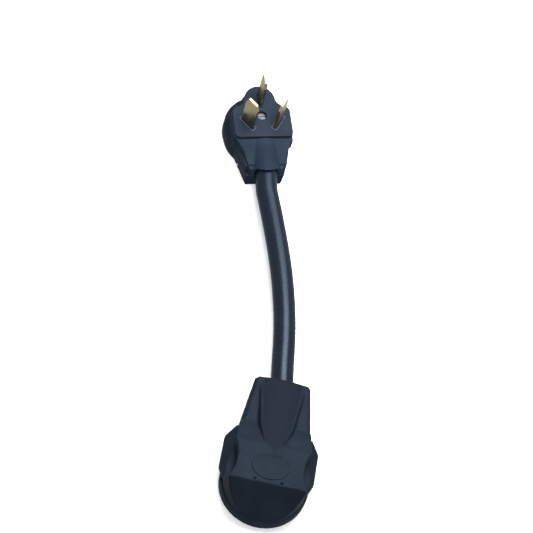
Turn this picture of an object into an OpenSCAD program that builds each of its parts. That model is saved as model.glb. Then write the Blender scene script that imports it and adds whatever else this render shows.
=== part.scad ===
// Power adapter dogbone: a three blade 50 A plug, a short heavy cord and a four slot 50 A connector.
// The connector lies with its socket face down and the plug with its blades up.
// Origin: centre of the slot pattern on the socket face. +Y: along the connector to the cord. +Z: up.

/* [Connector] */
// Radius of the round front rim
head_r = 29.7; // [29:0.1:32]
// Height from the socket face to the flat back
head_h = 32; // [30:0.5:36]
// Height of the front shell
rim_h = 9; // [8:0.5:11]
// Height of the flat top of the neck
neck_h = 22.3; // [21.5:0.1:26]
// Distance from the slot pattern to the end of the neck
neck_end_y = 69; // [66:1:80]
// Width of the neck at its end
neck_end_w = 38; // [34:1:44]
// Thickness of the shell walls
wall = 2.4; // [2:0.1:3]
// Distance from the middle to the outer edge of a finger grip
ear_reach = 31.8; // [30.5:0.1:33]
// Width of the blank oval badge
badge_w = 24; // [18:1:28]

/* [Contacts] */
// Distance between the two line slots
line_pitch = 27; // [26:0.5:28]
// Distance from the line slots to the neutral slot
neutral_offset = 14; // [13:0.5:15]
// Distance from the line slots to the ground hole
ground_offset = 17.5; // [16.5:0.5:18]
// Length of each slot
slot_l = 12.6; // [12.2:0.1:13]
// Width of each slot
slot_w = 2.4; // [2.2:0.1:2.6]
// Radius of the round ground hole
ground_r = 3.6; // [3.2:0.1:3.8]

/* [Cord] */
// Outer diameter of the cord jacket
cord_d = 15.2; // [14:0.1:15.3]
// Height of the cord's centre where it leaves the connector
cord_z = 12.6; // [12.6:0.1:13]
// Outer radius of one insulated wire
wire_r = 2.5; // [2:0.1:2.6]

/* [Plug] */
// Height of the plug's face above the surface it lies on
face_h = 27.5; // [27:0.1:29]
// Width of the plug's face
face_w = 42; // [41:0.5:43]
// Radius of the round lobe around the neutral blade
lobe_r = 11.2; // [10.8:0.1:11.5]
// Radius of the wide back cover
cover_r = 24; // [23.5:0.1:25]

/* [Blades] */
// Length that each blade stands out of the face
blade_l = 26; // [24:0.1:28]
// Width of each blade
blade_w = 11.6; // [11.5:0.1:12.2]
// Thickness of each blade
blade_t = 2; // [1.8:0.1:2.1]
// Distance between the centres of the two line blades
blade_pitch = 21.8; // [21:0.1:22.5]
// Distance from the line blades to the neutral blade
blade_offset = 19.3; // [19:0.1:20]
// Angle between a line blade and the plug's long axis
blade_turn = 35; // [30:1:36]

/* [Hidden] */
$fn = 64;
eps = 0.01;
far = 200;

// connector outline and profile
back_r = head_r - 1.7;
back_y = -1.7;
crease_y = -12;
slope_rate = 1.32;
slope_inset = 0.5;
slope_foot_y = -40;
ramp_start_y = 15;
ramp_end_y = 35;
neck_floor = 1.2;
neck_wall = 4;
shoulder_w = 52.4;
shoulder_y = 1;
grip_end_w = 48.8;
grip_end_y = 28;
neck_start_w = 46.8;
neck_start_y = 38;
ear_top = 21;
ear_edge_top = 14;
ear_floor = 9;
ear_start_x = 25.5;
ear_clear = ear_top + eps;
scoop_r = 32;
scoop_x = 54.2;
scoop_y = 2.5;
bevel_w = 2.4;
bevel_h = 4;

// raised tunnel over the cord
tunnel_r = 54;
tunnel_tilt = 8.8;
tunnel_end_h = 24;
tunnel_cover_t = 2.6;
tunnel_lean = 2.6;

// socket parts
plate_r = 23;
plate_t = 3;
plate_flange_r = 24.1;
plate_flange_top = 4.4;
carrier_r = 22.5;
carrier_floor = 4.6;
carrier_top = 13.5;
contact_floor = 4.8;
contact_top = 19;
contact_wall = 1.4;
contact_fit = 0.2;
ground_tube_r = 5;
bar_t = 1.4;
bar_w = 7;
bar_start_y = -17.2;
lug_w = 7.5;
lug_l = 8;
lug_h = 8;
lug_bore_r = 1.75;
line_lug_z = 17.7;
neutral_lug_z = 15;
neutral_lug_y = 28.2;
line_lug_y = slot_l / 2 + contact_wall + lug_l / 2;
shell_screws = [[-18.5, 30], [18.5, 30]];
shell_screw_top = 15;
face_screw_top = 27;
face_seat = 2;

// cord
jacket_r = cord_d / 2;
jacket_inner_r = 6.2;
cord_bore_r = 7.75;
insulation_inner_r = 1.85;
copper_r = 1.45;
jacket_sides = 12;
wire_sides = 8;
jacket_start_y = 54;
plug_cord_z = 14.5;
cord_mouth_r = 8.8;
plug_jacket_end_y = -22;

// plug, in its own frame with the blades at the origin and the cord towards -Y
plug_x = -45.8;
plug_y = 264.5;
plug_turn = 16;
cover_h = 12;
step_h = 19;
plate_floor = 24.5;
deck_floor = 22.5;
block_near_y = -11.6;
block_far_y = 14.2;
lobe_y = 19.7;
fillet_r = 7;
near_corner_r = 3.5;
far_corner_r = 5;
step_w = 1;
ramp_top_y = -12.4;
ramp_top_z = 26;
neck_top_z = 20.7;
plug_neck_y = -30.3;
cover_neck_y = -34;
cover_near_circle_y = 3;
cover_far_r = 24.5;
cover_far_y = 7;
cone_r_near = 9.8;
cone_r_far = 12.8;
cone_near_y = -33.8;
hood_y = -37.4;
hood_z = 24.3;
neck_post_x = 10.6;
neck_post_r = 1.95;
cone_inner_r = 9.4;
plug_wall = 2.5;
cover_floor = 3;
center_screw_y = 6.2;
center_head_r = 3;
center_hole_r = 3.4;
center_shank_r = 1.75;
center_boss_r = 3.2;
nut_r = 3.6;
nut_t = 3;
groove_r = 5.5;
groove_x = 26.5;
groove_z = 15.5;
cover_screws = [[-17.2, 9], [17.2, 9], [-13.8, -18], [13.8, -18]];
cover_screw_top = 18;
tip_cut_w = 1.7;
tip_cut_h = 5;
line_blade_foot = 14;
neutral_blade_foot = 5.2;
neutral_tail_w = 8;
plug_lug_w = 6.5;
plug_lug_l = 7.5;
plug_lug_h = 7;
plug_line_lug_z = 16.5;
plug_neutral_lug_z = 8.45;
plug_line_lug_slide = -3;

// screw sizes
screw_r = 1.5;
screw_hole_r = 1.65;
screw_head_r = 2.8;
screw_head_t = 1.8;
screw_seat_r = 3;
post_r = 3.2;
lug_screw_r = 1.5;
lug_head_r = 2.6;
lug_head_t = 1.8;

// colours
shell_color = [0.075, 0.085, 0.11];
plate_color = [0.09, 0.1, 0.13];
brass_color = [0.79, 0.62, 0.3];
steel_color = [0.7, 0.71, 0.73];
copper_color = [0.72, 0.4, 0.22];

// the cord's centre line: straight out of the connector, one open bow, straight into the plug
cord_route = concat(
    [
        [0, jacket_start_y, cord_z], [0, 63, cord_z], [-0.1, 71, cord_z], [-1.1, 80, 12.7],
        [-2.2, 90, 12.8], [-3.2, 100, 13], [-4.5, 111, 13.2], [-6.2, 122, 13.5], [-8.3, 133, 13.7],
        [-10.7, 144, 13.9], [-13.4, 155, 14], [-16.5, 166, 14.1], [-19.8, 177, 14.2],
        [-23.4, 188, 14.3], [-27.1, 199, 14.4], [-30.6, 209, 14.5], [-34, 219, plug_cord_z]
    ],
    [for (y = [-35, -28, plug_jacket_end_y]) to_world([0, y, plug_cord_z])]
);

// wires: the stretch at the connector, the stretch along the cord and the stretch in the plug
wire_side = 2.65;
wire_high = 1.53;
wire_low = -3.06;

black_ends = wire_ends(-1);
red_ends = wire_ends(1);
white_connector_end = [[0, 32.7, 15], [0, 39, 14.6], [0, 46, 11.6]];
white_plug_end = [
    [0.6, -17, 10.6], [4.4, -8, 8.8], [6, 1, 8.45], [6, 6, 8.45], [4.75, 11.4, 8.45]
];

// ---------- functions ----------

// a point of the plug's own frame, in the shared frame
function to_world(p) = [
    plug_x + p[0] * cos(plug_turn) - p[1] * sin(plug_turn),
    plug_y + p[0] * sin(plug_turn) + p[1] * cos(plug_turn),
    p[2]
];

function unit(v) = v / norm(v);

// direction of a path at its point i
function heading(path, i) =
    let (a = max(i - 1, 0), b = min(i + 1, len(path) - 1)) unit(path[b] - path[a]);

// level direction across a path at its point i
function across(path, i) = unit(cross(heading(path, i), [0, 0, 1]));

// the path moved sideways and up
function beside(path, side, up) =
    [for (i = [0 : len(path) - 1]) path[i] + across(path, i) * side + [0, 0, up]];

// a ring of points around a path at its point i
function ring(path, i, r, sides) =
    let (h = heading(path, i), s = across(path, i), u = cross(s, h))
    [for (k = [0 : sides - 1]) path[i] + r * (cos(360 * k / sides) * s + sin(360 * k / sides) * u)];

// path of a line wire at each end: side is -1 for the left wire and 1 for the right
function wire_ends(side) = [
    [
        [side * line_pitch / 2, line_lug_y + lug_l / 2 + 0.4, line_lug_z], [side * 13, 23, line_lug_z],
        [side * 10.5, 32, 16.6], [side * 6, 43, 14.6]
    ],
    [
        [side * 4.6, -16, plug_line_lug_z],
        line_lug_point(side, -plug_lug_l / 2 - 3.5), line_lug_point(side, -plug_lug_l / 2 - 0.4)
    ]
];

// a point on the axis of a line lug of the plug, a given distance along it
function line_lug_point(side, along) =
    let (
        a = -side * blade_turn,
        x = side * (blade_t / 2 + plug_lug_w / 2),
        y = plug_line_lug_slide + along
    )
    [
        side * blade_pitch / 2 + x * cos(a) - y * sin(a),
        x * sin(a) + y * cos(a),
        plug_line_lug_z
    ];

// whole centre line of one wire, from the connector's lug to the plug's lug
function wire_path(connector_end, side, up, plug_end) = concat(
    connector_end,
    beside(cord_route, side, up),
    [for (p = plug_end) to_world(p)]
);

// the same line with a straight piece added at each end
function longer(path, start, end) = concat(
    [path[0] + start], path, [path[len(path) - 1] + end]
);

black_path = wire_path(black_ends[0], -wire_side, wire_high, black_ends[1]);
red_path = wire_path(red_ends[0], wire_side, wire_high, red_ends[1]);
white_path = wire_path(white_connector_end, 0, wire_low, white_plug_end);

line_tail = [0, -lug_l + 0.6, 0];
neutral_tail = [0, -lug_l + 0.8, 0];

// ---------- general shapes ----------

// a solid rod swept along a path
module rod(path, r, sides) {
    n = len(path);
    points = [for (i = [0 : n - 1]) each ring(path, i, r, sides)];
    walls = [
        for (i = [0 : n - 2], k = [0 : sides - 1])
            let (a = i * sides + k, b = i * sides + (k + 1) % sides)
            [a, b, b + sides, a + sides]
    ];
    ends = [[for (k = [sides - 1 : -1 : 0]) k], [for (k = [0 : sides - 1]) (n - 1) * sides + k]];
    polyhedron(points, concat(walls, ends), convexity = 6);
}

// a pipe swept along a path
module pipe(path, r, inner_r, sides) {
    n = len(path);
    m = n * sides;
    points = [
        for (i = [0 : n - 1]) each ring(path, i, r, sides),
        for (i = [0 : n - 1]) each ring(path, i, inner_r, sides)
    ];
    outside = [
        for (i = [0 : n - 2], k = [0 : sides - 1])
            let (a = i * sides + k, b = i * sides + (k + 1) % sides)
            [a, b, b + sides, a + sides]
    ];
    inside = [
        for (i = [0 : n - 2], k = [0 : sides - 1])
            let (a = m + i * sides + k, b = m + i * sides + (k + 1) % sides)
            [a + sides, b + sides, b, a]
    ];
    near = [
        for (k = [0 : sides - 1])
            let (j = (k + 1) % sides)
            [k, m + k, m + j, j]
    ];
    last = (n - 1) * sides;
    away = [
        for (k = [0 : sides - 1])
            let (j = (k + 1) % sides)
            [last + j, m + last + j, m + last + k, last + k]
    ];
    polyhedron(points, concat(outside, inside, near, away), convexity = 8);
}

// a slotted pan head screw with its tip at the origin, pointing down
module screw(length, r = screw_r, head_r = screw_head_r, head_t = screw_head_t) {
    difference() {
        union() {
            cylinder(r = r, h = length);
            translate([0, 0, length]) cylinder(r = head_r, h = head_t);
        }
        translate([-head_r, -0.4, length + head_t - 0.8]) cube([2 * head_r, 0.8, 1]);
    }
}

// a box lug with a bore along Y and a screw hole from above (up = 1) or below (up = -1)
module lug(w, l, h, up) {
    difference() {
        translate([-w / 2, -l / 2, -h / 2]) cube([w, l, h]);
        translate([0, -l, 0]) rotate([-90, 0, 0]) cylinder(r = lug_bore_r, h = 2 * l);
        translate([0, 0, up > 0 ? 0 : -h]) cylinder(r = lug_screw_r + 0.05, h = h);
    }
}

module mirrored_x() {
    children();
    mirror([1, 0, 0]) children();
}

// everything inside is placed in the plug's own frame
module in_plug() {
    translate([plug_x, plug_y, 0]) rotate([0, 0, plug_turn]) children();
}

// ---------- connector ----------

// plan of the connector: round head, tapering shoulders and neck
module connector_plan(y, r, inset, end_y) {
    translate([0, y]) circle(r = r - inset, $fn = 96);
    polygon([
        [-shoulder_w / 2 + inset, shoulder_y], [-grip_end_w / 2 + inset, grip_end_y],
        [-neck_start_w / 2 + inset, neck_start_y], [-neck_end_w / 2 + inset, end_y],
        [neck_end_w / 2 - inset, end_y], [neck_start_w / 2 - inset, neck_start_y],
        [grip_end_w / 2 - inset, grip_end_y], [shoulder_w / 2 - inset, shoulder_y]
    ]);
}

// side profile of the connector's back, lowered by t for the inside
module connector_profile(t, end_y) {
    crease_in = crease_y + slope_inset * t;
    slope_foot_z = head_h - t - slope_rate * (crease_in - slope_foot_y);
    rotate([90, 0, 90]) translate([0, 0, -far / 2]) linear_extrude(far)
        polygon([
            [slope_foot_y, -far], [slope_foot_y, slope_foot_z], [crease_in, head_h - t],
            [ramp_start_y - 0.23 * t, head_h - t], [ramp_end_y - 0.23 * t, neck_h - t],
            [end_y, neck_h - t], [end_y, -far]
        ]);
}

// a wide shallow barrel that rises from the neck's end towards the flat back
module tunnel_barrel(lower) {
    end_top = tunnel_end_h - 5 * tan(tunnel_tilt) - lower;
    translate([0, neck_end_y + 5, end_top]) rotate([90 - tunnel_tilt, 0, 0])
        translate([0, -tunnel_r, 0]) cylinder(r = tunnel_r, h = 80, $fn = 180);
}

module tunnel_plan(grow) {
    polygon([
        [-13.3 - grow, neck_end_y], [-9.8 - grow, 31], [-7 - grow, 21.2],
        [7 + grow, 21.2], [9.8 + grow, 31], [13.3 + grow, neck_end_y]
    ]);
    translate([0, 21]) circle(r = 7 + grow);
}

// the tunnel's body, with sides that lean inwards
module tunnel_block() {
    hull() {
        translate([0, 0, neck_h - 2]) linear_extrude(1) tunnel_plan(tunnel_lean);
        translate([0, 0, head_h]) linear_extrude(1) tunnel_plan(0);
    }
}

module connector_cavity() {
    end_y = neck_end_y - neck_wall;
    tunnel_start_y = ramp_start_y + 4;
    intersection() {
        translate([0, 0, rim_h - 1]) linear_extrude(far) connector_plan(back_y, back_r, wall, end_y);
        connector_profile(wall, end_y);
        difference() {
            translate([-far / 2, -far / 2, 0]) cube(far);
            mirrored_x() translate([scoop_x, scoop_y, ear_top - wall])
                cylinder(r = scoop_r + wall, h = far);
        }
    }
    intersection() {
        tunnel_barrel(tunnel_cover_t);
        translate([-8.5, tunnel_start_y, rim_h]) cube([17, end_y - tunnel_start_y, head_h]);
    }
}

module connector_bevels() {
    lean = atan((neck_start_w - neck_end_w) / 2 / (neck_end_y - neck_start_y));
    mirrored_x() translate([neck_end_w / 2, neck_end_y, neck_h]) rotate([0, 0, lean])
        translate([0, 1, 0]) rotate([90, 0, 0]) linear_extrude(40)
            polygon([[-bevel_w, 0], [1, 0], [1, -bevel_h - 1.6], [0, -bevel_h]]);
}

// finger grips whose tops slope down to their outer edges
module connector_ears() {
    mirrored_x() intersection() {
        linear_extrude(ear_top)
            polygon([
                [22.6, 33.5], [ear_reach - 0.2, 24.5], [ear_reach, 2.5], [ear_reach - 3, -4.5],
                [26.2, -4.5], [26.2, 4], [23.6, 24]
            ]);
        translate([0, far / 2, 0]) rotate([90, 0, 0]) linear_extrude(far)
            polygon([
                [22, ear_floor], [22, ear_top], [ear_start_x, ear_top], [ear_reach, ear_edge_top],
                [ear_reach, ear_floor]
            ]);
    }
}

module cord_bore(end_y, z, r, depth) {
    translate([0, end_y + 1, z]) rotate([90, 0, 0]) cylinder(r = r, h = depth + 1);
}

module connector_back_shell() {
    color(shell_color) difference() {
        union() {
            difference() {
                intersection() {
                    translate([0, 0, rim_h]) linear_extrude(far)
                        connector_plan(back_y, back_r, 0, neck_end_y);
                    connector_profile(0, neck_end_y);
                }
                connector_cavity();
            }
            difference() {
                intersection() {
                    tunnel_block();
                    tunnel_barrel(0);
                }
                connector_cavity();
            }
            connector_ears();
            for (s = shell_screws)
                translate([s[0], s[1], rim_h])
                    cylinder(r = post_r - 0.2, h = shell_screw_top + 1.2 - rim_h);
            translate([0, 0, contact_top + bar_t + 0.3]) cylinder(r = post_r, h = 9.5);
        }
        mirrored_x() translate([scoop_x, scoop_y, ear_clear])
            cylinder(r = scoop_r, h = far, $fn = 128);
        connector_bevels();
        cord_bore(neck_end_y, cord_z, cord_bore_r, neck_wall + 1);
        translate([0, -0.3, head_h - 1]) badge_oval(0.1, 2);
        mirrored_x() translate([9, crease_y + 1.6, head_h - 1.6])
            cylinder(r = 0.9, h = 3, $fn = 32);
        for (s = shell_screws)
            translate([s[0], s[1], rim_h - 1])
                cylinder(r = screw_r, h = shell_screw_top - rim_h + 1.2);
        cylinder(r = screw_r, h = face_screw_top + 0.5);
    }
}

module connector_front_shell() {
    color(shell_color) difference() {
        union() {
            difference() {
                linear_extrude(rim_h) connector_plan(0, head_r, 0, neck_end_y);
                translate([0, 0, plate_t]) linear_extrude(rim_h)
                    connector_plan(0, head_r, wall, neck_end_y - neck_wall);
            }
            for (s = shell_screws)
                translate([s[0], s[1], 0]) cylinder(r = post_r, h = rim_h);
        }
        translate([0, 0, -1]) cylinder(r = plate_r + 0.1, h = plate_t + 2, $fn = 96);
        translate([-far / 2, neck_start_y - 4, neck_floor - far]) cube(far);
        cord_bore(neck_end_y, cord_z, cord_bore_r, neck_wall + 1);
        for (s = shell_screws) {
            translate([s[0], s[1], -1]) cylinder(r = screw_seat_r, h = 3.2);
            translate([s[0], s[1], -1]) cylinder(r = screw_hole_r, h = rim_h + 2);
        }
    }
}

// a flat oval
module badge_oval(grow, h) {
    linear_extrude(h) scale([1, 0.73]) circle(d = badge_w + 2 * grow, $fn = 72);
}

module connector_badge() {
    color(plate_color) translate([0, -0.3, head_h - 1 + eps]) difference() {
        badge_oval(0, 1.3);
        translate([0, 0, 1]) badge_oval(-1.2, 1);
    }
}

// the pattern of the four openings in the socket face
module socket_pattern(grow) {
    for (p = [[-line_pitch / 2, 0], [line_pitch / 2, 0], [0, -neutral_offset]])
        translate(p) square([slot_w + 2 * grow, slot_l + 2 * grow], center = true);
}

module socket_face_plate() {
    color(plate_color) difference() {
        union() {
            cylinder(r = plate_r, h = plate_t, $fn = 96);
            translate([0, 0, plate_t])
                cylinder(r = plate_flange_r, h = plate_flange_top - plate_t, $fn = 96);
        }
        translate([0, 0, -1]) linear_extrude(plate_flange_top + 2) socket_pattern(0);
        translate([0, ground_offset, -1]) cylinder(r = ground_r, h = plate_flange_top + 2);
        translate([0, 0, -1]) cylinder(r = screw_seat_r, h = face_seat + 1);
        cylinder(r = screw_hole_r, h = far);
    }
}

module contact_carrier() {
    color(plate_color) difference() {
        translate([0, 0, carrier_floor])
            cylinder(r = carrier_r, h = carrier_top - carrier_floor, $fn = 96);
        translate([0, 0, carrier_floor + eps]) linear_extrude(far)
            socket_pattern(contact_wall + contact_fit);
        linear_extrude(far) socket_pattern(0);
        translate([0, ground_offset, 0]) cylinder(r = ground_r, h = far);
        cylinder(r = screw_hole_r, h = far);
        translate([0, ground_offset, contact_floor])
            cylinder(r = ground_tube_r + contact_fit, h = far);
    }
}

// a slotted contact that grips one blade
module blade_contact(x, y) {
    color(brass_color) translate([x, y, contact_floor]) difference() {
        translate([-slot_w / 2 - contact_wall, -slot_l / 2 - contact_wall, 0])
            cube([slot_w + 2 * contact_wall, slot_l + 2 * contact_wall, contact_top - contact_floor]);
        translate([-slot_w / 2, -slot_l / 2, -1]) cube([slot_w, slot_l, far]);
    }
}

// the neutral contact, with a corner cut off to stay clear of the sloping end wall
module neutral_blade_contact() {
    intersection() {
        blade_contact(0, -neutral_offset);
        connector_profile(wall + contact_fit, neck_end_y);
    }
}

module ground_contact() {
    color(brass_color) translate([0, ground_offset, contact_floor]) difference() {
        cylinder(r = ground_tube_r, h = contact_top - contact_floor);
        translate([0, 0, -1]) cylinder(r = ground_r, h = far);
    }
}

// the bar that joins the neutral contact, the ground contact and the white wire's lug
module neutral_bond_bar() {
    color(brass_color) translate([0, 0, contact_top]) difference() {
        union() {
            translate([-bar_w / 2, bar_start_y, 0]) cube([bar_w, neutral_lug_y + 3.5 - bar_start_y, bar_t]);
            translate([0, ground_offset, 0]) cylinder(r = ground_tube_r + 0.6, h = bar_t);
        }
        translate([-slot_w / 2, bar_start_y - 1, -1])
            cube([slot_w, slot_l / 2 - neutral_offset - bar_start_y + 1, 4]);
        translate([0, ground_offset, -1]) cylinder(r = ground_r, h = 4);
        translate([0, neutral_lug_y, -1]) cylinder(r = lug_screw_r + 0.1, h = 4);
        translate([0, 0, -1]) cylinder(r = screw_hole_r, h = 4);
    }
}

module connector_wire_lugs() {
    color(steel_color) {
        for (side = [-1, 1])
            translate([side * line_pitch / 2, line_lug_y, line_lug_z]) lug(lug_w, lug_l, lug_h, 1);
        translate([0, neutral_lug_y, neutral_lug_z]) lug(lug_w, lug_l, lug_h, 1);
    }
}

module connector_lug_screws() {
    grip = copper_r + 0.1;
    color(steel_color) {
        for (side = [-1, 1])
            translate([side * line_pitch / 2, line_lug_y, line_lug_z + grip])
                screw(lug_h / 2 - grip, lug_screw_r, lug_head_r, lug_head_t);
        translate([0, neutral_lug_y, neutral_lug_z + grip])
            screw(lug_h / 2 - grip + bar_t, lug_screw_r, lug_head_r, 1.6);
    }
}

module connector_shell_screws() {
    head_seat = 2.2;
    color(steel_color) for (s = shell_screws)
        translate([s[0], s[1], shell_screw_top]) rotate([180, 0, 0])
            screw(shell_screw_top - head_seat, screw_r - 0.05);
}

// the long screw that pulls the face, the carrier and the back shell together
module connector_face_screw() {
    color(steel_color) translate([0, 0, face_screw_top]) rotate([180, 0, 0])
        screw(face_screw_top - face_seat, screw_r - 0.05);
}

// a crimped collar that keeps the cord from being pulled out
module strain_collar(r, inner_r, l) {
    rotate([90, 0, 0]) difference() {
        union() {
            cylinder(r = r - 0.6, h = l, center = true);
            cylinder(r = r, h = l / 3, center = true);
        }
        cylinder(r = inner_r, h = l + 2, center = true);
    }
}

module connector_strain_collar() {
    color(steel_color) translate([0, 60, cord_z]) strain_collar(9.2, jacket_r + 0.05, 7);
}

// ---------- cord ----------

module cord_jacket() {
    color(shell_color) pipe(cord_route, jacket_r, jacket_inner_r, jacket_sides);
}

module insulation(path, tone) {
    color(tone) pipe(path, wire_r, insulation_inner_r, wire_sides);
}

module copper(path, start, end) {
    color(copper_color) rod(longer(path, start, end), copper_r, wire_sides);
}

// how far the bare copper reaches into a line lug of the plug
function plug_line_tail(side) =
    let (
        start = line_lug_point(side, -plug_lug_l / 2 - 0.4),
        end = line_lug_point(side, plug_lug_l / 2 - 0.6)
    )
    to_world(end) - to_world(start);

plug_neutral_tail = to_world([4.75, 18.6, 0]) - to_world([4.75, 11.4, 0]);

// ---------- plug ----------

// plan of the plug's face: a block with a round lobe, grown by g
module face_plan(g) {
    half = face_w / 2 + g;
    near = block_near_y - g;
    farther = block_far_y + g;
    nc = near_corner_r;
    fc = far_corner_r;
    translate([-half + nc, near]) square([2 * (half - nc), farther - near - fc]);
    translate([-half, near + nc]) square([2 * half, farther - near - nc - fc]);
    translate([-half + fc, 0]) square([2 * (half - fc), farther]);
    translate([-lobe_r - g, 0]) square([2 * (lobe_r + g), lobe_y]);
    translate([0, lobe_y]) circle(r = lobe_r + g);
    for (side = [-1, 1]) {
        translate([side * (half - nc), near + nc]) circle(r = nc);
        translate([side * (half - fc), farther - fc]) circle(r = fc);
        translate([side * (lobe_r + g), farther]) difference() {
            translate([side > 0 ? -1 : -fillet_r + g, -1])
                square([fillet_r - g + 1, fillet_r - g + 1]);
            translate([side * (fillet_r - g), fillet_r - g]) circle(r = fillet_r - g);
        }
    }
}

// plan of the ramp that falls from the face to the neck's end
module ramp_plan(inset, end_y) {
    polygon([
        [-20.5 + inset, -8], [-19.6 + inset, ramp_top_y], [-15.6 + inset, -21],
        [-13.2 + inset, end_y], [13.2 - inset, end_y],
        [15.6 - inset, -21], [19.6 - inset, ramp_top_y], [20.5 - inset, -8]
    ]);
}

// plan of the neck below the ramp
module neck_plan(inset, end_y) {
    polygon([
        [-19.9 + inset, -9], [-17.6 + inset, -18], [-16.1 + inset, -24.5], [-14.8 + inset, -30],
        [-13.6 + inset, end_y], [13.6 - inset, end_y],
        [14.8 - inset, -30], [16.1 - inset, -24.5], [17.6 - inset, -18], [19.9 - inset, -9]
    ]);
}

// plan of the cover's neck where it rests on the ground
module neck_low_plan() {
    polygon([
        [-19.2, -8.5], [-18, -10.5], [-16.3, -15.2], [-14.9, -20.2], [-14, -25.2], [-13.3, -30.2],
        [-12.8, cover_neck_y], [12.8, cover_neck_y],
        [13.3, -30.2], [14, -25.2], [14.9, -20.2], [16.3, -15.2], [18, -10.5], [19.2, -8.5]
    ]);
}

// plan of the round part of the back cover
module cover_round(inset) {
    translate([0, cover_near_circle_y]) circle(r = cover_r - inset, $fn = 96);
    translate([0, cover_far_y]) circle(r = cover_far_r - inset, $fn = 96);
}

// the solid shape of the back cover: round, with a neck that narrows downwards
module cover_shape() {
    linear_extrude(cover_h) cover_round(0);
    hull() {
        linear_extrude(1) neck_low_plan();
        translate([0, 0, cover_h - 1]) linear_extrude(1) neck_plan(0, cover_neck_y);
    }
}

// the rounded cone that covers the cord in the plug's neck
module cord_cone(r1, r2, near_y, far_y) {
    translate([0, near_y, plug_cord_z]) rotate([-90, 0, 0])
        cylinder(r1 = r1, r2 = r2, h = far_y - near_y);
}

// finger grooves along both sides of the plug
module finger_grooves() {
    mirrored_x() translate([groove_x, 1, groove_z]) {
        rotate([90, 0, 0]) cylinder(r = groove_r, h = 20, center = true);
        translate([0, 10, 0]) sphere(r = groove_r);
        translate([0, -10, 0]) sphere(r = groove_r);
    }
}

// the three blade positions of the plug: line left, line right, neutral
module blade_place(which) {
    if (which == "left") translate([-blade_pitch / 2, 0, 0]) rotate([0, 0, blade_turn]) children();
    if (which == "right") translate([blade_pitch / 2, 0, 0]) rotate([0, 0, -blade_turn]) children();
    if (which == "neutral") translate([0, blade_offset, 0]) children();
}

module blade_slots(floor_z, grow) {
    for (which = ["left", "right", "neutral"])
        blade_place(which) translate([-blade_t / 2 - grow, -blade_w / 2 - grow, floor_z])
            cube([blade_t + 2 * grow, blade_w + 2 * grow, far]);
}

module plug_face_plate() {
    color(plate_color) in_plug() difference() {
        translate([0, 0, plate_floor]) linear_extrude(face_h - plate_floor) face_plan(-0.3);
        blade_slots(plate_floor - 1, 0.15);
        translate([0, center_screw_y, plate_floor - 1]) cylinder(r = center_hole_r, h = far);
    }
}

module plug_body() {
    color(shell_color) in_plug() difference() {
        union() {
            difference() {
                union() {
                    translate([0, 0, cover_h]) linear_extrude(plate_floor - cover_h) face_plan(0);
                    translate([0, 0, cover_h]) linear_extrude(step_h - cover_h) {
                        face_plan(step_w);
                        neck_plan(0, plug_neck_y);
                    }
                    intersection() {
                        translate([0, 0, cover_h]) linear_extrude(far) ramp_plan(0, plug_neck_y);
                        rotate([90, 0, 90]) translate([0, 0, -far / 2]) linear_extrude(far)
                            polygon([
                                [plug_neck_y, cover_h], [plug_neck_y, neck_top_z], [ramp_top_y, ramp_top_z],
                                [ramp_top_y, plate_floor], [0, plate_floor], [0, cover_h]
                            ]);
                    }
                    intersection() {
                        cord_cone(cone_r_near, cone_r_far, hood_y, ramp_top_y);
                        rotate([90, 0, 90]) translate([0, 0, -far / 2]) linear_extrude(far)
                            polygon([
                                [cone_near_y, cover_h], [cone_near_y, neck_top_z], [hood_y, hood_z],
                                [hood_y, 2 * hood_z], [0, 2 * hood_z], [0, cover_h]
                            ]);
                    }
                    for (side = [-1, 1])
                        translate([side * neck_post_x, plug_neck_y - 1, cover_h])
                            cylinder(r = neck_post_r, h = 7.2, $fn = 32);
                }
                // hollow for the wires and lugs
                intersection() {
                    translate([0, 0, cover_h - 1]) linear_extrude(far) union() {
                        face_plan(-plug_wall);
                        ramp_plan(plug_wall, plug_neck_y + 3.4);
                    }
                    rotate([90, 0, 90]) translate([0, 0, -far / 2]) linear_extrude(far)
                        polygon([
                            [plug_neck_y, cover_h - 1], [plug_neck_y, neck_top_z - 2.7],
                            [ramp_top_y + 1, deck_floor], [40, deck_floor], [40, cover_h - 1]
                        ]);
                }
                cord_cone(cone_inner_r, cone_inner_r + 0.8, plug_neck_y + 3.4, ramp_top_y - 2);
            }
            translate([0, center_screw_y, cover_h])
                cylinder(r = center_boss_r, h = deck_floor - cover_h + 1);
            for (s = cover_screws) translate([s[0], s[1], cover_h])
                cylinder(r = 2.8, h = cover_screw_top - cover_h + 1.4);
        }
        finger_grooves();
        blade_slots(cover_h + 2, 0.2);
        translate([0, center_screw_y, 23.4]) cylinder(r = center_hole_r, h = 8);
        translate([0, center_screw_y, 0]) cylinder(r = center_shank_r + 0.15, h = 40);
        cord_bore_plug();
        for (s = cover_screws) translate([s[0], s[1], cover_h - 1])
            cylinder(r = screw_r, h = cover_screw_top - cover_h + 1.2);
    }
}

// the bore for the cord, with a wider mouth at its end
module cord_bore_plug() {
    translate([0, hood_y - 1, plug_cord_z]) rotate([-90, 0, 0]) {
        cylinder(r = cord_bore_r, h = 12.5);
        cylinder(r = cord_mouth_r, h = 5);
    }
}

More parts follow.
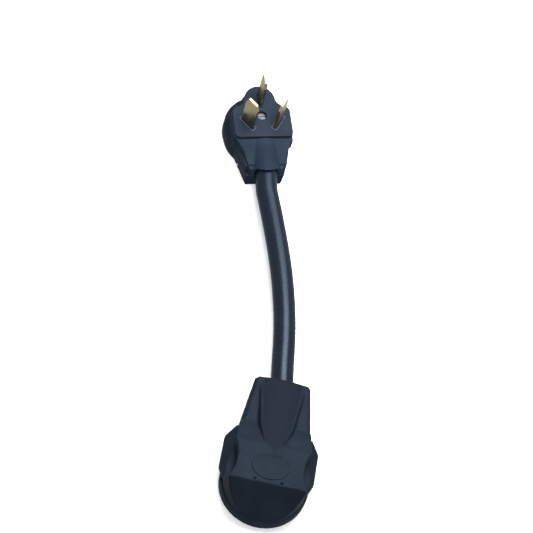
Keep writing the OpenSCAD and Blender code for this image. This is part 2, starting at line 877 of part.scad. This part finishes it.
module plug_back_cover() {
    color(shell_color) in_plug() difference() {
        union() {
            difference() {
                cover_shape();
                translate([0, 0, cover_floor]) linear_extrude(cover_h) intersection() {
                    union() {
                        cover_round(plug_wall);
                        neck_plan(plug_wall + 1.8, cover_neck_y + 4);
                    }
                    union() {
                        face_plan(1 - plug_wall);
                        ramp_plan(plug_wall - 1, plug_neck_y + 1.5);
                    }
                }
            }
            translate([0, center_screw_y, 0]) cylinder(r = 5.2, h = 5);
            translate([0, center_screw_y, 0]) cylinder(r = center_boss_r, h = cover_h);
            for (s = cover_screws) translate([s[0], s[1], 0]) cylinder(r = post_r, h = cover_h);
        }
        finger_grooves();
        cord_bore_plug();
        translate([0, center_screw_y, -1]) cylinder(r = nut_r + 0.1, h = nut_t + 1.3, $fn = 6);
        translate([0, center_screw_y, -1]) cylinder(r = center_shank_r + 0.15, h = 40);
        for (s = cover_screws) {
            translate([s[0], s[1], -1]) cylinder(r = screw_seat_r, h = 5);
            translate([s[0], s[1], -1]) cylinder(r = screw_hole_r, h = 40);
        }
    }
}

// a flat blade whose sides run in towards the tip
module blade_outline(foot) {
    tip = face_h + blade_l;
    polygon([
        [-blade_w / 2, foot], [blade_w / 2, foot], [blade_w / 2, tip - tip_cut_h],
        [blade_w / 2 - tip_cut_w, tip], [-blade_w / 2 + tip_cut_w, tip],
        [-blade_w / 2, tip - tip_cut_h]
    ]);
}

module line_blade(which) {
    color(brass_color) in_plug() blade_place(which)
        rotate([90, 0, 90]) translate([0, 0, -blade_t / 2])
            linear_extrude(blade_t) blade_outline(line_blade_foot);
}

module neutral_blade() {
    color(brass_color) in_plug() blade_place("neutral")
        rotate([90, 0, 90]) translate([0, 0, -blade_t / 2]) linear_extrude(blade_t) union() {
            blade_outline(line_blade_foot);
            translate([-blade_w / 2, neutral_blade_foot])
                square([neutral_tail_w, line_blade_foot - neutral_blade_foot + 1]);
        }
}

module plug_lug_at(which) {
    if (which == "neutral")
        translate([blade_t / 2 + 3.75, 15.6, plug_neutral_lug_z]) children();
    else
        blade_place(which) translate([
            (which == "left" ? -1 : 1) * (blade_t / 2 + plug_lug_w / 2),
            plug_line_lug_slide, plug_line_lug_z
        ]) children();
}

module plug_wire_lugs() {
    color(steel_color) in_plug() {
        for (which = ["left", "right"])
            plug_lug_at(which) lug(plug_lug_w, plug_lug_l, plug_lug_h, -1);
        plug_lug_at("neutral") lug(7.5, plug_lug_l, 6.5, -1);
    }
}

module plug_lug_screws() {
    grip = copper_r + 0.1;
    color(steel_color) in_plug() {
        for (which = ["left", "right"]) plug_lug_at(which) translate([0, 0, -grip]) rotate([180, 0, 0])
            screw(plug_lug_h / 2 - grip, lug_screw_r, lug_head_r, lug_head_t);
        plug_lug_at("neutral") translate([0, 0, -grip]) rotate([180, 0, 0])
            screw(3.25 - grip, lug_screw_r, lug_head_r, lug_head_t);
    }
}

module plug_center_screw() {
    color(steel_color) in_plug() translate([0, center_screw_y, 1])
        screw(22.4, center_shank_r, center_head_r, 2);
}

module plug_hex_nut() {
    color(brass_color) in_plug() translate([0, center_screw_y, 0.2]) difference() {
        cylinder(r = nut_r, h = nut_t, $fn = 6);
        translate([0, 0, -1]) cylinder(r = center_shank_r + 0.02, h = 5);
    }
}

module plug_cover_screws() {
    head_seat = 4;
    color(steel_color) in_plug() for (s = cover_screws)
        translate([s[0], s[1], cover_screw_top]) rotate([180, 0, 0])
            screw(cover_screw_top - head_seat, screw_r - 0.05);
}

module plug_strain_collar() {
    color(steel_color) in_plug() translate([0, -23.6, plug_cord_z])
        strain_collar(9.2, jacket_r + 0.05, 6);
}

connector_back_shell();
connector_front_shell();
connector_badge();
socket_face_plate();
contact_carrier();
blade_contact(-line_pitch / 2, 0);  // line_contact_left
blade_contact(line_pitch / 2, 0);  // line_contact_right
neutral_blade_contact();  // neutral_contact
ground_contact();
neutral_bond_bar();
connector_wire_lugs();
connector_lug_screws();
connector_face_screw();
connector_shell_screws();
connector_strain_collar();
cord_jacket();
insulation(black_path, [0.05, 0.05, 0.05]);  // black_insulation
insulation(red_path, [0.6, 0.06, 0.05]);  // red_insulation
insulation(white_path, [0.85, 0.85, 0.82]);  // white_insulation
copper(black_path, line_tail, plug_line_tail(-1));  // black_copper
copper(red_path, line_tail, plug_line_tail(1));  // red_copper
copper(white_path, neutral_tail, plug_neutral_tail);  // white_copper
plug_face_plate();
plug_body();
plug_back_cover();
line_blade("left");  // line_blade_left
line_blade("right");  // line_blade_right
neutral_blade();
plug_wire_lugs();
plug_lug_screws();
plug_center_screw();
plug_hex_nut();
plug_cover_screws();
plug_strain_collar();
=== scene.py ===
import math

import bmesh
import bpy
from mathutils import Matrix, Vector


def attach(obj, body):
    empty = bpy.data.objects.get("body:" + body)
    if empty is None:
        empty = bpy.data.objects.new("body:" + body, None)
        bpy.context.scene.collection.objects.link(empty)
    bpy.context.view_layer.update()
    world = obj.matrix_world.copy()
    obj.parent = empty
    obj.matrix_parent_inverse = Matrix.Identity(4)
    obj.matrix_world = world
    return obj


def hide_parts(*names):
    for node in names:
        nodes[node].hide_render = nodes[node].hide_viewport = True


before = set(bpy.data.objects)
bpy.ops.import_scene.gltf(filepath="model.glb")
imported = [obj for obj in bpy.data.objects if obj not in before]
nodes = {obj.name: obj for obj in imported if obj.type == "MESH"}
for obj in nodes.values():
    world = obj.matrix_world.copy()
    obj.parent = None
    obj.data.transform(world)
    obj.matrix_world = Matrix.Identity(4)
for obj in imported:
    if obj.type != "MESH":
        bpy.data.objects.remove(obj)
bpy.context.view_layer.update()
scene = bpy.context.scene
MM = 0.001


# ---------- camera ----------

CAMERA_ELEVATION = 58.65
CAMERA_AZIMUTH = 7.05
CAMERA_ROLL = 18.47
CAMERA_DISTANCE = 1.702
CAMERA_TARGET = Vector((-0.0245, 0.1573, 0.015))
CAMERA_LENS = 167.9


def make_camera():
    """A long lens seen from the connector's end, turned so that the plug stands at the top."""
    e, a, r = (math.radians(v) for v in (CAMERA_ELEVATION, CAMERA_AZIMUTH, CAMERA_ROLL))
    forward = Vector((math.sin(a) * math.cos(e), math.cos(a) * math.cos(e), -math.sin(e)))
    level = forward.cross(Vector((0, 0, 1))).normalized()
    upright = level.cross(forward)
    right = level * math.cos(r) + upright * math.sin(r)
    up = upright * math.cos(r) - level * math.sin(r)
    data = bpy.data.cameras.new("camera")
    data.lens = CAMERA_LENS
    data.sensor_width = 36
    data.clip_start, data.clip_end = 0.05, 20
    camera = bpy.data.objects.new("camera", data)
    scene.collection.objects.link(camera)
    turn = Matrix((right, up, -forward)).transposed()
    camera.matrix_world = Matrix.Translation(CAMERA_TARGET - forward * CAMERA_DISTANCE) @ turn.to_4x4()
    scene.camera = camera


make_camera()


# ---------- materials ----------

# noise scales, in cycles per metre: cloudy colour, fine specks, gentle waves of a moulded wall
CLOUDS = 55
SPECKS = 420
WAVES = 35
WAVE_STRENGTH = 0.15
WAVE_DEPTH = 0.0004
# noise scale of tarnish on metal, and the depth of its scratches in metres
TARNISH = 90
SCRATCH_STRENGTH = 0.25
SCRATCH_DEPTH = 0.00008
# a noise's values lie mostly between these two
NOISE_LOW = 0.3
NOISE_HIGH = 0.7
# how convex an edge is where wear starts and where it is full
WEAR_START = 0.52
WEAR_FULL = 0.6
PLASTIC_SHEEN = (0.62, 0.8, 1.0, 1)


def link_all(tree, pairs):
    for a, b in pairs:
        tree.links.new(a, b)


def new_material(name):
    mat = bpy.data.materials.new(name)
    mat.use_nodes = True
    tree = mat.node_tree
    return mat, tree, tree.nodes["Principled BSDF"]


def noise(tree, scale, detail=4.0, stretch=(1, 1, 1)):
    """Noise in the object's own coordinates."""
    where = tree.nodes.new("ShaderNodeTexCoord")
    mapping = tree.nodes.new("ShaderNodeMapping")
    mapping.inputs["Scale"].default_value = stretch
    tex = tree.nodes.new("ShaderNodeTexNoise")
    tex.inputs["Scale"].default_value = scale
    tex.inputs["Detail"].default_value = detail
    link_all(tree, [(where.outputs["Object"], mapping.inputs["Vector"]),
                    (mapping.outputs["Vector"], tex.inputs["Vector"])])
    return tex.outputs["Fac"]


def ramp(tree, fac, stops):
    """A colour ramp: stops are (position, colour)."""
    node = tree.nodes.new("ShaderNodeValToRGB")
    while len(node.color_ramp.elements) < len(stops):
        node.color_ramp.elements.new(0.5)
    for element, (at, colour) in zip(node.color_ramp.elements, stops):
        element.position = at
        element.color = (*colour, 1)
    tree.links.new(fac, node.inputs["Fac"])
    return node.outputs["Color"]


def spread_value(tree, fac, low, high):
    """A noise turned into a value between low and high."""
    node = tree.nodes.new("ShaderNodeMapRange")
    node.inputs["From Min"].default_value = NOISE_LOW
    node.inputs["From Max"].default_value = NOISE_HIGH
    node.inputs["To Min"].default_value = low
    node.inputs["To Max"].default_value = high
    tree.links.new(fac, node.inputs["Value"])
    return node.outputs["Result"]


def mix(tree, fac, a, b):
    """Colour a where fac is 0 and b where it is 1; each is a colour or a socket."""
    node = tree.nodes.new("ShaderNodeMix")
    node.data_type = "RGBA"
    tree.links.new(fac, node.inputs["Factor"])
    for value, socket in ((a, node.inputs["A"]), (b, node.inputs["B"])):
        if isinstance(value, tuple):
            socket.default_value = (*value, 1)
        else:
            tree.links.new(value, socket)
    return node.outputs["Result"]


def bumps(tree, bsdf, layers):
    """Stacks bump layers: each is (height, strength, distance in metres)."""
    last = None
    for height, strength, distance in layers:
        node = tree.nodes.new("ShaderNodeBump")
        node.inputs["Strength"].default_value = strength
        node.inputs["Distance"].default_value = distance
        tree.links.new(height, node.inputs["Height"])
        if last:
            tree.links.new(last, node.inputs["Normal"])
        last = node.outputs["Normal"]
    tree.links.new(last, bsdf.inputs["Normal"])


def edge_mask(tree):
    """Convex edges, for wear."""
    geometry = tree.nodes.new("ShaderNodeNewGeometry")
    node = tree.nodes.new("ShaderNodeMapRange")
    node.inputs["From Min"].default_value = WEAR_START
    node.inputs["From Max"].default_value = WEAR_FULL
    tree.links.new(geometry.outputs["Pointiness"], node.inputs["Value"])
    return node.outputs["Result"]


def painted(tree, name):
    """A value stored at the piece's own points."""
    node = tree.nodes.new("ShaderNodeAttribute")
    node.attribute_name = name
    return node.outputs["Fac"]


def moulded_plastic(name, dark, light, worn, rough, grain_scale=900, grain=0.25, grain_depth=0.00006,
                    spec=0.035, painted_area=None):
    """Moulded plastic: cloudy colour, fine spark-eroded grain, paler rubbed edges.

    painted_area is (attribute, colour) of painted shade: where the piece's attribute is 1 the colour
    is that one.
    """
    mat, tree, bsdf = new_material(name)
    clouds = noise(tree, CLOUDS, 5)
    specks = noise(tree, SPECKS, 3)
    base = ramp(tree, clouds, [(0.32, dark), (0.68, light)])
    if painted_area:
        base = mix(tree, painted(tree, painted_area[0]), base, painted_area[1])
    rubbed = mix(tree, edge_mask(tree), base, worn)
    tree.links.new(rubbed, bsdf.inputs["Base Color"])
    tree.links.new(spread_value(tree, specks, rough - 0.05, rough + 0.07), bsdf.inputs["Roughness"])
    bsdf.inputs["Specular IOR Level"].default_value = spec
    bsdf.inputs["Specular Tint"].default_value = PLASTIC_SHEEN
    bumps(tree, bsdf, [
        (noise(tree, grain_scale, 2), grain, grain_depth),
        (noise(tree, WAVES, 3), WAVE_STRENGTH, WAVE_DEPTH),
    ])
    return mat


def metal(name, colour, dark, rough, stretch, scale=260):
    """Sheet metal with fine lengthwise scratches and slight tarnish."""
    mat, tree, bsdf = new_material(name)
    tarnish = noise(tree, TARNISH, 5)
    lines = noise(tree, scale, 3, stretch)
    tint = ramp(tree, tarnish, [(0.3, dark), (0.62, colour)])
    tree.links.new(tint, bsdf.inputs["Base Color"])
    bsdf.inputs["Metallic"].default_value = 1.0
    tree.links.new(spread_value(tree, lines, rough - 0.07, rough + 0.1), bsdf.inputs["Roughness"])
    bumps(tree, bsdf, [(lines, SCRATCH_STRENGTH, SCRATCH_DEPTH)])
    return mat


# each plastic: its darker and lighter cloud, its rubbed edges, its roughness
SHELL = moulded_plastic(
    "shell_plastic", (0.0085, 0.0135, 0.022), (0.0125, 0.019, 0.03), (0.03, 0.04, 0.058), 0.46)
# the shell plastic made lighter for the plug's middle: painted light, standing in for the stronger
# light on the plug
PLUG_BODY_LIT = moulded_plastic(
    "plug_body_lit_plastic", (0.0115, 0.018, 0.029), (0.0168, 0.0255, 0.04), (0.038, 0.05, 0.072), 0.46)
# the back shell's plastic, painted darker on the tunnel's top as painted shade
BACK_SHELL = moulded_plastic(
    "back_shell_plastic", (0.0085, 0.0125, 0.0195), (0.0125, 0.0175, 0.0265), (0.026, 0.034, 0.048),
    0.46, painted_area=("tunnel", (0.0075, 0.0098, 0.0158)))
FACE = moulded_plastic(
    "face_plastic", (0.014, 0.02, 0.03), (0.02, 0.028, 0.041), (0.035, 0.045, 0.063), 0.5)
FRAME_EDGE = moulded_plastic(
    "frame_edge", (0.05, 0.06, 0.075), (0.07, 0.082, 0.1), (0.1, 0.115, 0.14), 0.5)
JACKET = moulded_plastic(
    "cord_jacket_vinyl", (0.004, 0.006, 0.011), (0.0062, 0.009, 0.0155), (0.015, 0.019, 0.027), 0.28,
    grain_scale=700, grain=0.12, grain_depth=0.00002, spec=0.27)
INNER = moulded_plastic(
    "carrier_plastic", (0.03, 0.035, 0.045), (0.045, 0.05, 0.06), (0.08, 0.09, 0.1), 0.55)
BLACK_WIRE = moulded_plastic(
    "wire_black", (0.01, 0.01, 0.011), (0.018, 0.018, 0.019), (0.03, 0.03, 0.03), 0.35)
RED_WIRE = moulded_plastic(
    "wire_red", (0.36, 0.02, 0.015), (0.46, 0.03, 0.022), (0.5, 0.06, 0.05), 0.35)
WHITE_WIRE = moulded_plastic(
    "wire_white", (0.66, 0.66, 0.63), (0.76, 0.76, 0.73), (0.8, 0.8, 0.78), 0.35)
# each metal: its clean and tarnished colour, its roughness, the stretch of its scratches
BRASS = metal("blade_brass", (0.56, 0.46, 0.26), (0.36, 0.28, 0.145), 0.25, (1, 1, 0.08))
CONTACT_BRASS = metal("contact_brass", (0.8, 0.6, 0.26), (0.6, 0.42, 0.16), 0.36, (1, 0.1, 1))
STEEL = metal("screw_steel", (0.16, 0.18, 0.2), (0.11, 0.122, 0.14), 0.5, (1, 1, 1), scale=400)
COPPER = metal("bare_copper", (0.8, 0.42, 0.27), (0.55, 0.27, 0.15), 0.4, (1, 0.1, 1))


def paint(obj, mat):
    obj.data.materials.clear()
    obj.data.materials.append(mat)


# ---------- cord ----------

# the cord's route, the same points as the CAD's, in millimetres
CORD_DIAMETER = 15.2
PLUG_AT = Vector((-45.8, 264.5, 0))
PLUG_TURN = math.radians(16)
ROUTE = [
    (0, 54, 12.6), (0, 63, 12.6), (-0.1, 71, 12.6), (-1.1, 80, 12.7), (-2.2, 90, 12.8),
    (-3.2, 100, 13), (-4.5, 111, 13.2), (-6.2, 122, 13.5), (-8.3, 133, 13.7), (-10.7, 144, 13.9),
    (-13.4, 155, 14), (-16.5, 166, 14.1), (-19.8, 177, 14.2), (-23.4, 188, 14.3), (-27.1, 199, 14.4),
    (-30.6, 209, 14.5), (-34, 219, 14.5),
]
PLUG_CORD_Y = (-35, -28, -22)
PLUG_CORD_Z = 14.5
STEPS_PER_POINT = 6
CORD_SIDES = 48
# how much the jacket's radius varies, as a share of it
JACKET_WAVER = 0.004


def plug_point(x, y, z):
    """A point of the plug's own frame, in millimetres of the shared frame."""
    return PLUG_AT + Matrix.Rotation(PLUG_TURN, 3, "Z") @ Vector((x, y, z))


def smooth_line(points, steps):
    """A Catmull-Rom line through the points."""
    line = []
    for i in range(len(points) - 1):
        a, b = points[max(i - 1, 0)], points[i]
        c, d = points[i + 1], points[min(i + 2, len(points) - 1)]
        for k in range(steps):
            t = k / steps
            line.append(0.5 * (2 * b + (c - a) * t + (2 * a - 5 * b + 4 * c - d) * t * t
                               + (3 * b - a - 3 * c + d) * t ** 3))
    line.append(points[-1])
    return line


def new_piece(name, bm, smooth_angle=35):
    mesh = bpy.data.meshes.new(name)
    bm.to_mesh(mesh)
    bm.free()
    obj = bpy.data.objects.new(name, mesh)
    scene.collection.objects.link(obj)
    mesh.polygons.foreach_set("use_smooth", [True] * len(mesh.polygons))
    mesh.set_sharp_from_angle(angle=math.radians(smooth_angle))
    return obj


def tube(name, line, radius_at, sides):
    """A closed tube of quads around a line in metres."""
    bm = bmesh.new()
    rings = []
    for i, p in enumerate(line):
        heading = (line[min(i + 1, len(line) - 1)] - line[max(i - 1, 0)]).normalized()
        side = heading.cross(Vector((0, 0, 1))).normalized()
        up = side.cross(heading)
        ring = []
        for k in range(sides):
            turn = 2 * math.pi * k / sides
            r = radius_at(i / (len(line) - 1), turn)
            ring.append(bm.verts.new(p + side * (r * math.cos(turn)) + up * (r * math.sin(turn))))
        rings.append(ring)
    for a, b in zip(rings, rings[1:]):
        for k in range(sides):
            j = (k + 1) % sides
            bm.faces.new((a[k], a[j], b[j], b[k]))
    bm.faces.new(list(reversed(rings[0])))
    bm.faces.new(rings[-1])
    bmesh.ops.recalc_face_normals(bm, faces=bm.faces)
    return new_piece(name, bm)


def make_cord():
    points = [Vector(p) for p in ROUTE] + [plug_point(0, y, PLUG_CORD_Z) for y in PLUG_CORD_Y]
    line = [p * MM for p in smooth_line(points, STEPS_PER_POINT)]
    radius = CORD_DIAMETER / 2 * MM

    def radius_at(t, turn):
        slack = math.sin(61 * t) * 0.5 + math.sin(23 * t + 2 * math.cos(turn)) * 0.5
        return radius * (1 + JACKET_WAVER * slack)

    obj = tube("cord", line, radius_at, CORD_SIDES)
    paint(obj, JACKET)
    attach(obj, "root")
    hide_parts("cord_jacket")
    return obj


make_cord()


# ---------- moulded parts with rounded edges ----------

# corners closer together than this, in metres, are one corner
SAME_POINT = 2e-6
BEVEL_SEGMENTS = 3


def rounded(node, name, width, mat, angle=12):
    """The CAD node's shape with its edges rounded, as a new piece that stands for it."""
    bm = bmesh.new()
    bm.from_mesh(nodes[node].data)
    bmesh.ops.remove_doubles(bm, verts=bm.verts, dist=SAME_POINT)
    bmesh.ops.dissolve_limit(bm, angle_limit=math.radians(0.3), verts=bm.verts, edges=bm.edges)
    obj = new_piece(name, bm, 180)
    bevel = obj.modifiers.new("rounded_edges", "BEVEL")
    bevel.width = width
    bevel.segments = BEVEL_SEGMENTS
    bevel.limit_method = "ANGLE"
    bevel.angle_limit = math.radians(angle)
    bevel.use_clamp_overlap = True
    bevel.miter_outer = "MITER_ARC"
    flat = obj.modifiers.new("flat_faces", "WEIGHTED_NORMAL")
    flat.mode = "FACE_AREA"
    flat.weight = 90
    flat.thresh = 0.2
    paint(obj, mat)
    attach(obj, "root")
    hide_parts(node)
    return obj


# the top of the tunnel over the cord, painted darker as painted shade: (y, half width) along the
# connector, in millimetres
TUNNEL_OUTLINE = [(14, 0), (14.6, 3), (16, 5.2), (18, 6.4), (21.2, 7), (31, 9.8), (69, 13.3)]
# the tunnel's top lies above this height
TUNNEL_LOW_Z = 21


def tunnel_half_width(y):
    for (y0, w0), (y1, w1) in zip(TUNNEL_OUTLINE, TUNNEL_OUTLINE[1:]):
        if y0 <= y <= y1:
            return w0 + (w1 - w0) * (y - y0) / (y1 - y0)
    return 0


def mark_tunnel_shade(obj):
    """Stores 1 at the points on the tunnel's top, where shade is painted, fading to 0 over a
    millimetre at its outline.
    """
    mark = obj.data.attributes.new("tunnel", "FLOAT", "POINT")
    values = []
    for v in obj.data.vertices:
        x, y, z = v.co / MM
        inside = tunnel_half_width(y) - abs(x)
        values.append(max(0.0, min(1.0, 0.5 + inside)) if z > TUNNEL_LOW_Z else 0.0)
    mark.data.foreach_set("value", values)


def softened(node, name, voxel, passes, mat):
    """The CAD node's shape with every edge melted round, as moulded plastic is, as a new piece."""
    source = bpy.data.objects.new(name + "_source", nodes[node].data.copy())
    scene.collection.objects.link(source)
    remesh = source.modifiers.new("even_mesh", "REMESH")
    remesh.mode = "VOXEL"
    remesh.voxel_size = voxel
    melt = source.modifiers.new("melted_edges", "SMOOTH")
    melt.factor = 0.5
    melt.iterations = passes
    seen = source.evaluated_get(bpy.context.evaluated_depsgraph_get())
    mesh = bpy.data.meshes.new_from_object(seen)
    mesh.name = name
    bpy.data.meshes.remove(source.data)
    obj = bpy.data.objects.new(name, mesh)
    scene.collection.objects.link(obj)
    mesh.polygons.foreach_set("use_smooth", [True] * len(mesh.polygons))
    paint(obj, mat)
    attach(obj, "root")
    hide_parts(node)
    return obj


# node, piece, voxel in metres, smoothing passes, material
back = softened("connector_back_shell", "connector_back", 0.0005, 9, BACK_SHELL)
# paint shade on the tunnel's top
mark_tunnel_shade(back)
softened("connector_front_shell", "connector_front", 0.0005, 4, SHELL)
softened("plug_body", "plug_middle", 0.0004, 4, PLUG_BODY_LIT)
softened("plug_back_cover", "plug_cover", 0.0005, 8, SHELL)
softened("plug_face_plate", "plug_face", 0.0003, 4, FACE)
softened("socket_face_plate", "socket_face", 0.0003, 4, FACE)
# node, piece, width of the rounded edge in metres, material
rounded("connector_badge", "badge_blank", 0.0002, BACK_SHELL, angle=40)
rounded("line_blade_left", "blade_left", 0.00025, BRASS)
rounded("line_blade_right", "blade_right", 0.00025, BRASS)
rounded("neutral_blade", "blade_neutral", 0.00025, BRASS)
rounded("plug_center_screw", "center_screw", 0.00025, STEEL, angle=40)


# ---------- pale raised frames around the two line blades ----------

# millimetres in the plug's own frame: height of the plate, half size inside a frame, width and
# rise of its line, how far it reaches into the plate, its corner radius and the bevel of its line
PLATE_TOP = 27.5
FRAME_HALF = (1.7, 6.5)
FRAME_LINE = 0.45
FRAME_RISE = 0.25
FRAME_SUNK = 0.3
FRAME_CORNER = 0.8
FRAME_BEVEL = 0.12
CORNER_STEPS = 5
# x, y and turn in degrees of each line blade
BLADE_PLACES = [(-10.9, 0, 35), (10.9, 0, -35)]


def frame_ring(bm, place, half_x, half_y, z):
    """A rounded rectangle of vertices around a blade."""
    x0, y0, turn = place
    ring = []
    for cx, cy, start in ((1, 1, 0), (-1, 1, 90), (-1, -1, 180), (1, -1, 270)):
        for k in range(CORNER_STEPS):
            a = math.radians(start + 90 * k / (CORNER_STEPS - 1))
            x = cx * (half_x - FRAME_CORNER) + FRAME_CORNER * math.cos(a)
            y = cy * (half_y - FRAME_CORNER) + FRAME_CORNER * math.sin(a)
            p = Matrix.Rotation(math.radians(turn), 3, "Z") @ Vector((x, y, 0))
            ring.append(bm.verts.new(plug_point(x0 + p.x, y0 + p.y, z) * MM))
    return ring


def make_blade_frames():
    bm = bmesh.new()
    low, high = PLATE_TOP - FRAME_SUNK, PLATE_TOP + FRAME_RISE
    shoulder = high - FRAME_BEVEL
    # the line's section: distance outwards from the frame's inside, and height
    section = (
        (FRAME_LINE, low), (FRAME_LINE, shoulder), (FRAME_LINE - FRAME_BEVEL, high),
        (FRAME_BEVEL, high), (0, shoulder), (0, low),
    )
    for place in BLADE_PLACES:
        hx, hy = FRAME_HALF
        rings = [frame_ring(bm, place, hx + d, hy + d, z) for d, z in section]
        for a, b in zip(rings, rings[1:] + rings[:1]):
            for k in range(len(a)):
                j = (k + 1) % len(a)
                bm.faces.new((a[k], a[j], b[j], b[k]))
    bmesh.ops.recalc_face_normals(bm, faces=bm.faces)
    obj = new_piece("blade_frames", bm, 50)
    paint(obj, FRAME_EDGE)
    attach(obj, "root")


make_blade_frames()


# ---------- CAD nodes that keep their shape ----------

FINISHES = {
    "contact_carrier": INNER,
    "line_contact_left": CONTACT_BRASS,
    "line_contact_right": CONTACT_BRASS,
    "neutral_contact": CONTACT_BRASS,
    "ground_contact": CONTACT_BRASS,
    "neutral_bond_bar": CONTACT_BRASS,
    "plug_hex_nut": CONTACT_BRASS,
    "connector_face_screw": STEEL,
    "connector_wire_lugs": STEEL,
    "connector_lug_screws": STEEL,
    "connector_shell_screws": STEEL,
    "connector_strain_collar": STEEL,
    "plug_wire_lugs": STEEL,
    "plug_lug_screws": STEEL,
    "plug_cover_screws": STEEL,
    "plug_strain_collar": STEEL,
    "black_insulation": BLACK_WIRE,
    "red_insulation": RED_WIRE,
    "white_insulation": WHITE_WIRE,
    "black_copper": COPPER,
    "red_copper": COPPER,
    "white_copper": COPPER,
}
for node, mat in FINISHES.items():
    paint(nodes[node], mat)


# ---------- floor and light ----------

FLOOR_SIZE = 2.5
FLOOR_DROP = 0.0002
FLOOR_WHITE = ((0.8, 0.8, 0.8), (0.84, 0.84, 0.84))
FLOOR_GLOW = 0.3


def make_floor():
    """A white sheet that glows a little, so that shadows on it are faint, and lights nothing."""
    bm = bmesh.new()
    bmesh.ops.create_grid(bm, x_segments=24, y_segments=24, size=FLOOR_SIZE)
    for v in bm.verts:
        v.co.z = -FLOOR_DROP
    floor = new_piece("floor", bm)
    mat, tree, bsdf = new_material("floor_paper")
    tint = ramp(tree, noise(tree, 30, 3), [(NOISE_LOW, FLOOR_WHITE[0]), (NOISE_HIGH, FLOOR_WHITE[1])])
    tree.links.new(tint, bsdf.inputs["Base Color"])
    bsdf.inputs["Roughness"].default_value = 0.9
    bsdf.inputs["Specular IOR Level"].default_value = 0.1
    bsdf.inputs["Emission Color"].default_value = (1, 1, 1, 1)
    bsdf.inputs["Emission Strength"].default_value = FLOOR_GLOW
    paint(floor, mat)
    floor.visible_diffuse = False
    floor.visible_glossy = False


def area_light(name, at, aim, size, power):
    """A white lamp, with its size in metres and its power in watts."""
    data = bpy.data.lights.new(name, "AREA")
    data.shape = "RECTANGLE"
    data.size, data.size_y = size
    data.energy = power
    lamp = bpy.data.objects.new(name, data)
    scene.collection.objects.link(lamp)
    lamp.location = at
    lamp.visible_camera = False
    lamp.rotation_mode = "QUATERNION"
    lamp.rotation_quaternion = (Vector(aim) - Vector(at)).to_track_quat("-Z", "Y")


def make_world():
    world = bpy.data.worlds.new("studio")
    world.use_nodes = True
    scene.world = world
    background = world.node_tree.nodes["Background"]
    background.inputs["Color"].default_value = (0.9, 0.95, 1.0, 1)
    background.inputs["Strength"].default_value = 0.6


make_floor()
make_world()
area_light("overhead", (0.02, 0.21, 0.42), (-0.02, 0.21, 0), (0.3, 0.3), 3.5)
area_light("front", (0.0, -0.6, 0.5), (-0.02, 0.05, 0), (0.5, 0.4), 1.5)
area_light("back", (0.1, 0.95, 0.85), (-0.03, 0.2, 0), (0.9, 0.6), 8)

scene.view_settings.view_transform = "Standard"
